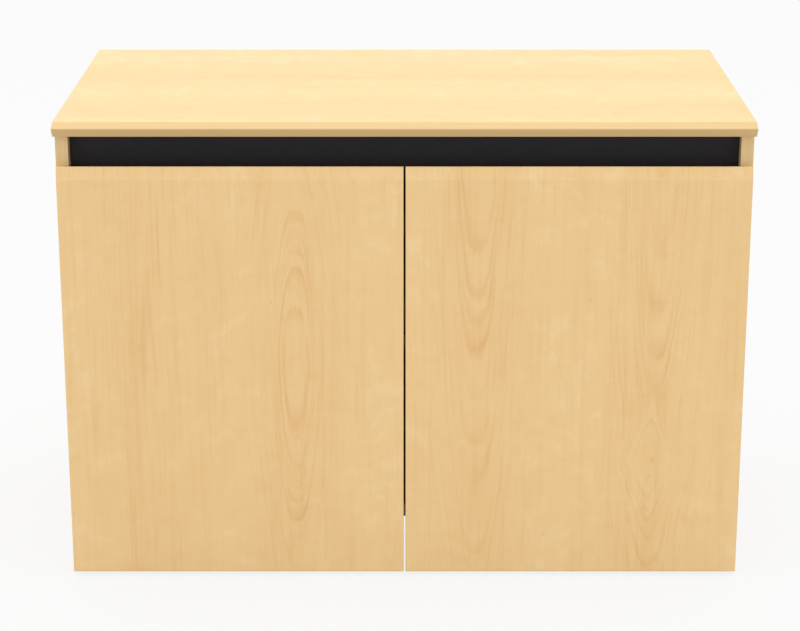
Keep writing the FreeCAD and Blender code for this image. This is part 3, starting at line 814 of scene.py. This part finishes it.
# %% The figures of the other boards
TOP_FIGURES = [
    ([Eye(-0.175, -0.900, 0.030, 0.02, 1.0)], [(14.0, 0.2), (20.0, 0.15), (26.0, 0.2)]),
    ([Eye(0.075, 0.900, 0.030, 0.02, 1.0)], [(12.0, 0.2), (17.0, 0.15), (24.0, 0.2)]),
]
SIDE_FIGURES = [
    ([Eye(-0.060, 0.900, 0.025, 0.08, 1.5)], [(22.0, 0.8), (28.0, 0.6), (36.0, 0.8), (45.0, 0.6)]),
    ([Eye(0.150, -0.150, 0.025, 0.06, 1.5)], [(16.0, 0.5), (21.0, 0.7), (30.0, 0.6)]),
]
SHELF_FIGURES = [([Eye(-0.020, -0.700, 0.025, 0.04, 1.2)], [(16.0, 0.5), (24.0, 0.6), (34.0, 0.5)])]
BACK_FIGURES = [
    ([Eye(-0.210, 0.050, 0.025, 0.09, 1.5)], [(18.0, 0.6), (27.0, 0.7), (38.0, 0.6)]),
    ([Eye(0.190, 0.800, 0.025, 0.07, 1.5)], [(16.0, 0.6), (25.0, 0.7), (33.0, 0.5)]),
]

# %% Paint the top and the carcass
TOP_FINE = 0.45
TOP_COLUMN_TONE = 0.17


def board_core(node, axis):
    """Says where a board's core shows: anywhere between its two faces."""
    low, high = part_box(node)
    number = "xyz".index(axis)
    edges = sorted([abs(low[number]), abs(high[number])])

    def bare(finish, *point):
        return inside(abs(point[number]), edges[0], edges[1], SKIN)

    return bare


top_maple = maple(
    "maple_top", "yxz", TOP_FIGURES, 53.0, nose=top_front, fine=TOP_FINE, column_tone=TOP_COLUMN_TONE
)
paint(top_maple, "top_panel")
side_maple = maple("maple_sides", "yzx", SIDE_FIGURES, 71.0, board_core("left_side_panel", "x"))
paint(side_maple, "left_side_panel", "right_side_panel")
bottom_maple = maple("maple_bottom", "yxz", SHELF_FIGURES, 89.0, board_core("bottom_panel", "z"))
paint(bottom_maple, "bottom_panel")
paint(maple("maple_shelf", "yxz", SHELF_FIGURES, 93.0, board_core("shelf", "z")), "shelf")
paint(maple("maple_back", "xzy", BACK_FIGURES, 97.0, board_core("back_panel", "y")), "back_panel")

# %% [markdown]
# ## The edging
#
# The cut edges of the boards are covered with thin plastic strips. They match the laminate less exactly
# than one would like: a little greyer, with fine straight grain along the strip. They could share the
# laminate's finish, but that difference is what shows them to be strips, so they have their own.

# %% Edge strips
EDGING = (0.735, 0.535, 0.268, 1.0)
EDGING_LINE = (0.660, 0.455, 0.205, 1.0)
EDGING_FIBRE = Layer(across=600.0, along=4.0, weight=0.5, low=0.4, high=0.8, detail=3)
EDGING_STREAK = Layer(across=90.0, along=1.5, weight=0.4, low=0.45, high=0.75)
EDGING_ROUGH = 0.40
EDGING_FIBRE_ROUGH = 0.08
EDGING_RELIEF = 0.00002


def edging(name, along_axis, seed):
    """A strip whose grain runs along one axis: fine fibres, and broader streaks under them."""
    finish = finish_named(name)
    point = finish.place()
    fibre = strewn(finish, point, EDGING_FIBRE, seed, along_axis)
    streak = strewn(finish, point, EDGING_STREAK, seed, along_axis)
    dark = shown(fibre, EDGING_FIBRE) + shown(streak, EDGING_STREAK)
    return finish.close(
        Base_Color=finish.mix(dark, EDGING, EDGING_LINE),
        Roughness=EDGING_ROUGH + fibre * EDGING_FIBRE_ROUGH,
        Normal=finish.bump(fibre, EDGING_RELIEF),
    )


paint(edging("edging_upright", "z", 3.0), "left_side_edging", "right_side_edging")
paint(edging("edging_level", "x", 5.0), "top_edging", "bottom_edging", "shelf_edging")

# %% [markdown]
# ## The dark rail
#
# The rail behind the finger recess is a black board. Plain black would be the simple way, but it looks
# like a hole. Real black laminate is a very dark grey with a fine pebbled surface, so that is what the
# finish has.

# %% Paint the rail
RAIL_BLACK = (0.0110, 0.0105, 0.0122, 1.0)
RAIL_GREY = (0.0165, 0.0158, 0.0180, 1.0)
PEBBLE = Layer(900, weight=0.7)
RAIL_CLOUD = Layer(12, weight=0.3, detail=3)
RAIL_ROUGH = 0.55
PEBBLE_ROUGH = 0.15
PEBBLE_RELIEF = 0.00004

rail_finish = finish_named("dark_rail")
rail_point = rail_finish.place()
pebble = strewn(rail_finish, rail_point, PEBBLE)
rail_cloud = strewn(rail_finish, rail_point, RAIL_CLOUD)
rail_tone = pebble * PEBBLE.weight + rail_cloud * RAIL_CLOUD.weight
paint(rail_finish.close(
    Base_Color=rail_finish.mix(rail_tone, RAIL_BLACK, RAIL_GREY),
    Roughness=RAIL_ROUGH + pebble * PEBBLE_ROUGH,
    Specular_IOR_Level=0.3,
    Normal=rail_finish.bump(pebble, PEBBLE_RELIEF),
), "recess_rail")

# %% [markdown]
# ## Metal
#
# The hinges are pressed from steel and plated with nickel, which is a little warmer than chrome. The
# screws are zinc-plated, the cams are cast in zinc. Bare metal has no colour of its own beside its
# reflection, so what tells them apart is the tint and how blurred the reflection is. One even gloss
# would be enough from far away. Close by, handling has left faint clouds in it, and there are fine
# scratches in the direction of the pressing.

# %% A metal finish
METAL_CLOUD = Layer(70, weight=0.7, low=0.35, high=0.75, detail=3)
METAL_GRAIN = Layer(2600)
SCRATCH = Layer(across=1800.0, along=40.0, weight=0.3, low=0.55, high=0.75)
DULL_ROUGH = 0.10
SCRATCH_ROUGH = 0.08
GRAIN_RELIEF = 0.5
SCRATCH_RELIEF = 0.5
METAL_RELIEF = 0.000006


def metal(name, tint, shade, gloss, seed, scratch_axis="y"):
    """Plated or cast metal: clouds in tint and gloss, and scratches along one axis."""
    finish = finish_named(name)
    point = finish.place()
    cloud = strewn(finish, point, METAL_CLOUD, seed)
    grain = strewn(finish, point, METAL_GRAIN, seed)
    scratch = strewn(finish, point, SCRATCH, seed, scratch_axis)
    dull = cloud.rise(METAL_CLOUD.low, METAL_CLOUD.high)
    tone = dull * METAL_CLOUD.weight + shown(scratch, SCRATCH)
    relief = grain * GRAIN_RELIEF + scratch * SCRATCH_RELIEF
    return finish.close(
        Base_Color=finish.mix(tone, tint, shade),
        Metallic=1.0,
        Roughness=gloss + dull * DULL_ROUGH + scratch * SCRATCH_ROUGH,
        Normal=finish.bump(relief, METAL_RELIEF),
    )


# %% Paint the metal
NICKEL = metal("nickel_plate", (0.70, 0.675, 0.63, 1.0), (0.60, 0.575, 0.53, 1.0), 0.30, 3.0)
STEEL = metal("spring_steel", (0.55, 0.55, 0.56, 1.0), (0.42, 0.42, 0.44, 1.0), 0.24, 5.0, "x")
ZINC = metal("zinc_plate", (0.66, 0.67, 0.68, 1.0), (0.55, 0.55, 0.54, 1.0), 0.28, 8.0)
CAST = metal("cast_zinc", (0.58, 0.585, 0.60, 1.0), (0.44, 0.445, 0.46, 1.0), 0.38, 13.0)

for side_name in ("left", "right"):
    for level in ("lower", "upper"):
        hinge = f"{side_name}_{level}_hinge_"
        paint(NICKEL, hinge + "cup", hinge + "arm", hinge + "plate")
        paint(STEEL, hinge + "pin", hinge + "spring")
paint(NICKEL, "shelf_pins")
paint(ZINC, "cam_bolts")

# %% [markdown]
# ## Beech
#
# The dowels are beech, pale wood with short dark dashes. Rays and pores could be modelled as the grain
# of the doors is, but the dowels are hidden in their bores, so one layer of noise is enough.

# %% Paint the dowels
BEECH = (0.60, 0.40, 0.22, 1.0)
BEECH_DASH = (0.36, 0.20, 0.09, 1.0)
DASH = Layer(900, low=0.55, high=0.75)
BEECH_ROUGH = 0.65
DASH_ROUGH = 0.1
DASH_RELIEF = 0.00003

beech_finish = finish_named("beech")
dash = strewn(beech_finish, beech_finish.place(), DASH)
paint(beech_finish.close(
    Base_Color=beech_finish.mix(shown(dash, DASH), BEECH, BEECH_DASH),
    Roughness=BEECH_ROUGH + dash * DASH_ROUGH,
    Normal=beech_finish.bump(dash, DASH_RELIEF),
), "dowels")

# %% [markdown]
# ## Nylon and soft plastic
#
# The glides are black nylon with the fine bloom of a moulding, scuffed where they stand on the floor.
# The bumpers behind the doors are soft, clear domes. Full glass would be too clear for them, so they
# pass only about half of the light, and a little dust lies on them.

# %% The nylon of the glides
NYLON_BLACK = (0.022, 0.022, 0.024, 1.0)
NYLON_WORN = (0.060, 0.058, 0.056, 1.0)
SPECK = Layer(1400, weight=0.15, low=0.35, high=0.65)
SCUFF_HEIGHT = (0.0003, 0.0015)
SCUFF_SHARE = 0.8
NYLON_ROUGH = 0.42
SPECK_ROUGH = 0.12
SPECK_RELIEF = 0.00001

nylon_finish = finish_named("nylon")
nylon_point = nylon_finish.place()
speck = strewn(nylon_finish, nylon_point, SPECK)
scuffed = nylon_point[2].fall(*SCUFF_HEIGHT) * speck.rise(SPECK.low, SPECK.high)
nylon_tone = scuffed * SCUFF_SHARE + speck * SPECK.weight
NYLON = nylon_finish.close(
    Base_Color=nylon_finish.mix(nylon_tone, NYLON_BLACK, NYLON_WORN),
    Roughness=NYLON_ROUGH + speck * SPECK_ROUGH,
    Normal=nylon_finish.bump(speck, SPECK_RELIEF),
)
print("finish:", NYLON.name)

# %% The soft plastic of the bumpers
BUMPER_CLEAR = (0.80, 0.79, 0.75, 1.0)
BUMPER_DUST = (0.62, 0.60, 0.55, 1.0)
DUST = Layer(800, low=0.5, high=0.8, detail=3)
BUMPER_ROUGH = 0.22
DUST_ROUGH = 0.15

bumper_finish = finish_named("soft_bumper")
dust = strewn(bumper_finish, bumper_finish.place(), DUST)
BUMPER = bumper_finish.close(
    Base_Color=bumper_finish.mix(shown(dust, DUST), BUMPER_CLEAR, BUMPER_DUST),
    Roughness=BUMPER_ROUGH + dust * DUST_ROUGH,
    Transmission_Weight=0.55,
    IOR=1.48,
)
print("finish:", BUMPER.name)

# %% [markdown]
# ## Turned pieces
#
# Screws, cams, glides and bumpers are round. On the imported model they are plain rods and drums, because
# that is all their motion needs. Here each gets its real shape: a profile carried round an axis, with a
# cross recess pressed into the head of a screw or a cam. The Screw modifier could turn the profile, but
# the recess needs more points than a modifier gives. So the whole skin is one grid: the rows follow the
# profile, the columns go round, and the recess lowers the rows of the head by a formula.

# %% Find the solids of a node
SAME_PLACE_DIGITS = 6


def solids(node):
    """The boxes of the separate solids in a node, as lowest and highest corners.

    Points at the same place count as one. Each point starts as a group of its own, and the lowest
    number in a triangle spreads to its corners until nothing changes.
    """
    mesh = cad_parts[node].data
    points = np.empty(len(mesh.vertices) * 3)
    mesh.vertices.foreach_get("co", points)
    points = points.reshape(-1, 3)
    corners = np.empty(len(mesh.loops), int)
    mesh.loops.foreach_get("vertex_index", corners)
    places, place_of = np.unique(points.round(SAME_PLACE_DIGITS), axis=0, return_inverse=True)
    triangles = place_of.reshape(-1)[corners.reshape(-1, 3)]
    group = np.arange(len(places))
    settled = False
    while not settled:
        spread = group.copy()
        np.minimum.at(spread, triangles, group[triangles].min(axis=1, keepdims=True))
        settled = np.array_equal(spread, group)
        group = spread
    boxes = [places[group == number] for number in np.unique(group)]
    print(node, "has", len(boxes), "solids")
    return [(box.min(axis=0), box.max(axis=0)) for box in boxes]


# %% Turn a profile and put it in place
AXES = np.eye(3)
RECESS_WALL = 0.35
SMOOTH_ANGLE = math.radians(35)


def turned(radii, heights, columns):
    """A profile carried round the third axis: point = (radius cos turn, radius sin turn, height)."""
    turn = np.linspace(0, 2 * np.pi, columns, endpoint=False)
    radius = np.asarray(radii)[:, None]
    height = np.broadcast_to(np.asarray(heights)[:, None], (len(radii), columns))
    return np.stack([radius * np.cos(turn), radius * np.sin(turn), height], axis=-1)


def stood(points, seat, axis):
    """Turns a piece so that its third axis points along a direction, and puts its origin on seat."""
    axis = np.asarray(axis, float)
    first = AXES[(np.argmax(np.abs(axis)) + 1) % 3]
    second = np.cross(axis, first)
    return points @ np.stack([first, second, axis]) + np.asarray(seat)


def cross_recess(points, reach, half_width, depth):
    """Lowers the points near the third axis by a cross: full depth within both arms, none outside.

    The depth is a ramp of the smaller of the two distances across, times one of the larger.
    """
    flat = np.abs(points[..., :2])
    narrow, wide = flat.min(axis=-1), flat.max(axis=-1)
    arm = np.clip((half_width - narrow) / (RECESS_WALL * half_width) + 0.5, 0, 1)
    end = np.clip((reach - wide) / (RECESS_WALL * reach), 0, 1)
    sunk = points.copy()
    sunk[..., 2] -= depth * arm * end
    return sunk


def dressed(name, node, grids, material, body):
    """Makes one piece of all the copies, smooth where it is round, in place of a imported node."""
    piece = surface(name, np.stack(grids), closed=True)
    piece.data.polygons.foreach_set("use_smooth", np.ones(len(piece.data.polygons), bool))
    piece.data.set_sharp_from_angle(angle=SMOOTH_ANGLE)
    piece.data.materials.append(material)
    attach(piece, body)
    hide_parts(node)
    return piece


# %% [markdown]
# ## Screws
#
# All the screws are pan heads with a cross recess and a thread below. A thread could be a profile swept
# along a spiral, but that would be a second skin on the shank. Here it is a ridge in the one grid. It
# climbs one pitch in each turn, so its height depends on both the row and the column.

# %% The shape of a screw
HEAD_ROWS = 22
RIM_ROWS = 7
SCREW_COLUMNS = 56
HEAD_HEIGHT = 1.6 * MM
CROWN_DROP = 0.22
RIM_FOOT = 0.30
RIM_RISE = 0.70
RECESS_DEPTH = 0.62 * HEAD_HEIGHT
THREAD_PITCH = 1.3 * MM
THREAD_DEPTH = 0.35 * MM
THREAD_STEP = 0.22 * MM
THREAD_SHARPNESS = 0.6
PLAIN_ROWS = 2

# In head radii
CROWN_SHARE = 0.80
RIM_SHARE = 0.20
RECESS_REACH = 0.62
RECESS_HALF_WIDTH = 0.14

# In shank radii
POINT_LENGTH = 2.2
POINT_BEND = 0.9
POINT_RADIUS = 0.5


def screw(head_radius, shank_radius, length):
    """A screw with its seat at the origin and its head along the third axis.

    Head: height falls with the square of the radius, then follows a quarter round down to the seat.
    Thread: the radius dips by the depth times a wave of (height / pitch + turn).
    """
    crown = np.linspace(0, CROWN_SHARE * head_radius, HEAD_ROWS)
    crown_height = HEAD_HEIGHT * (1 - CROWN_DROP * (crown / head_radius) ** 2)
    bend = np.linspace(0, np.pi / 2, RIM_ROWS)[1:]
    rim = CROWN_SHARE * head_radius + RIM_SHARE * head_radius * np.sin(bend)
    rim_height = crown_height[-1] * (RIM_FOOT + RIM_RISE * np.cos(bend))
    down = np.arange(0, -length + POINT_LENGTH * shank_radius, -THREAD_STEP)
    shank = np.full(len(down), shank_radius)
    tip = [POINT_RADIUS * shank_radius, 0]
    tip_height = [-length + POINT_BEND * shank_radius, -length]
    radii = np.concatenate([crown, rim, [head_radius], shank, tip])
    heights = np.concatenate([crown_height, rim_height, [0], down, tip_height])
    points = turned(radii, heights, SCREW_COLUMNS)

    head = slice(0, HEAD_ROWS)
    reach = RECESS_REACH * head_radius
    half_width = RECESS_HALF_WIDTH * head_radius
    points[head] = cross_recess(points[head], reach, half_width, RECESS_DEPTH)

    first_row = HEAD_ROWS + len(rim) + 1
    thread = slice(first_row + PLAIN_ROWS, first_row + len(down))
    turn = np.linspace(0, 1, SCREW_COLUMNS, endpoint=False)
    phase = points[thread, :, 2] / THREAD_PITCH + turn
    dip = THREAD_DEPTH * (0.5 - 0.5 * np.cos(2 * np.pi * phase)) ** THREAD_SHARPNESS
    points[thread, :, :2] *= (1 - dip / shank_radius)[..., None]
    return points


# %% Make the screws
WOOD_SCREW = 1.75 * MM
ARM_SCREW = 2.0 * MM


def screws(node, axis, shank_radius, body):
    """Screws for all the rods of a node, whose heads lie at the far end along an axis."""
    axis = np.asarray(axis, float)
    number = int(np.argmax(np.abs(axis)))
    outward = axis[number] > 0
    grids = []
    for low, high in solids(node):
        size = high - low
        seat = (low + high) / 2
        seat[number] = high[number] - HEAD_HEIGHT if outward else low[number] + HEAD_HEIGHT
        head_radius = size[(number + 1) % 3] / 2
        grids.append(stood(screw(head_radius, shank_radius, size[number] - HEAD_HEIGHT), seat, axis))
    dressed(node + "_dressed", node, grids, ZINC, body)


for side_name, inward in (("left", 1), ("right", -1)):
    screws(side_name + "_cup_screws", (0, 1, 0), WOOD_SCREW, side_name + "_door")
    screws(side_name + "_plate_screws", (inward, 0, 0), WOOD_SCREW, "carcass")
    screws(side_name + "_arm_screws", (inward, 0, 0), ARM_SCREW, "carcass")
screws("back_screws", (0, 1, 0), WOOD_SCREW, "carcass")

# %% [markdown]
# ## Cams
#
# A cam is a zinc drum that lies flush in a hole. A screwdriver in its cross slot turns it, and that
# draws the bolt of the other board in. Its face has a raised rim and a sunken floor. The slot could be
# cut with a Boolean modifier, but the grid of a screw head does the same with a few numbers. Most of the
# rows go to the floor, where the slot is, and the wall has few.

# %% Make the cams
CAM_COLUMNS = 72
CAM_FLOOR_ROWS = 30
CAM_RIM = 0.0009
CAM_DISH = 0.0006
CAM_EDGE_RIMS = np.array([1.6, 0.4, 0.1, 0.0])
CAM_EDGE_HEIGHTS = [0, 0, -0.0001, -0.0003]
CAM_SLOT_REACH = 0.0048
CAM_SLOT_HALF_WIDTH = 0.0009
CAM_SLOT_DEPTH = 0.0028


def cam(radius, depth):
    """A drum below the origin: a dish inside a rim, a cross slot, an eased edge and a plain wall."""
    floor_radii = np.linspace(0, radius - 2 * CAM_RIM, CAM_FLOOR_ROWS)
    floor_heights = np.full(CAM_FLOOR_ROWS, -CAM_DISH)
    wall_radii = [radius, radius - CAM_RIM, 0]
    wall_heights = [-depth + CAM_RIM, -depth, -depth]
    radii = np.concatenate([floor_radii, radius - CAM_RIM * CAM_EDGE_RIMS, wall_radii])
    heights = np.concatenate([floor_heights, CAM_EDGE_HEIGHTS, wall_heights])
    points = turned(radii, heights, CAM_COLUMNS)
    dish = slice(0, CAM_FLOOR_ROWS)
    points[dish] = cross_recess(points[dish], CAM_SLOT_REACH, CAM_SLOT_HALF_WIDTH, CAM_SLOT_DEPTH)
    return points


def cam_face(low, high):
    """The middle of a cam's outer face and the way it looks: down, towards the middle, or back."""
    middle, size = (low + high) / 2, high - low
    number = int(np.argmin(size))
    way = AXES[number] * (-np.sign(middle[0]), 1, -1)[number]
    return middle + way * size[number] / 2, way, size


cam_grids = []
for low, high in solids("cam_housings"):
    seat, way, size = cam_face(low, high)
    cam_grids.append(stood(cam(size.max() / 2, size.min()), seat, way))
dressed("cams_dressed", "cam_housings", cam_grids, CAST, "carcass")

# %% [markdown]
# ## Glides and bumpers
#
# The glides are nailed under the sides. Their lower edge is well rounded, so that they don't catch on
# carpet. The bumpers are low domes that take the last of a door's swing. A Bevel modifier could round
# both, but a profile of quarter rounds says exactly how far each curve goes.

# %% Make the glides
ROUND_COLUMNS = 48
NAIL_RADIUS = 1.6 * MM
GLIDE_HEIGHT = 6 * MM
GLIDE_FOOT = 2.2 * MM
GLIDE_BRIM = 0.7 * MM
GLIDE_ROWS = 9
UPWARDS = (0, 0, 1)


def glide(radius, length):
    """A pad with a rounded foot, and a nail above it: quarter rounds join the flats of the pad."""
    bend = np.linspace(0, np.pi / 2, GLIDE_ROWS)
    foot = radius - GLIDE_FOOT + GLIDE_FOOT * np.sin(bend)
    foot_height = GLIDE_FOOT - GLIDE_FOOT * np.cos(bend)
    brim = radius - GLIDE_BRIM + GLIDE_BRIM * np.cos(bend)
    brim_height = GLIDE_HEIGHT - GLIDE_BRIM + GLIDE_BRIM * np.sin(bend)
    nail_height = [GLIDE_HEIGHT, length - 2 * NAIL_RADIUS, length]
    radii = np.concatenate([[0], foot, brim, [NAIL_RADIUS, NAIL_RADIUS, 0]])
    heights = np.concatenate([[0], foot_height, brim_height, nail_height])
    return turned(radii, heights, ROUND_COLUMNS)


glide_grids = []
for low, high in solids("glides"):
    size, middle = high - low, (low + high) / 2
    glide_grids.append(stood(glide(size[0] / 2, size[2]), (middle[0], middle[1], 0), UPWARDS))
dressed("glides_dressed", "glides", glide_grids, NYLON, "carcass")

# %% Make the bumpers
BUMPER_ROWS = 12
BUMPER_WALL = 0.3
BUMPER_DOME = 0.7
FORWARDS = (0, -1, 0)


def bumper(radius, height):
    """A dome on a short wall: an ellipse from the middle to the wall, and a flat back."""
    bend = np.linspace(0, np.pi / 2, BUMPER_ROWS)
    radii = np.concatenate([radius * np.sin(bend), [radius, 0]])
    dome_height = BUMPER_WALL * height + BUMPER_DOME * height * np.cos(bend)
    heights = np.concatenate([dome_height, [0, 0]])
    return turned(radii, heights, ROUND_COLUMNS)


bumper_grids = []
for low, high in solids("door_bumpers"):
    size, middle = high - low, (low + high) / 2
    seat = (middle[0], high[1], middle[2])
    bumper_grids.append(stood(bumper(size[0] / 2, size[1]), seat, FORWARDS))
dressed("bumpers_dressed", "door_bumpers", bumper_grids, BUMPER, "carcass")

# %% [markdown]
# ## Sizes
#
# The dressed model should not outgrow the solids, so the box of everything it shows is printed.

# %% Keep the sizes and finish
low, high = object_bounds()
print("visual box:", [round(v, 4) for v in high - low])
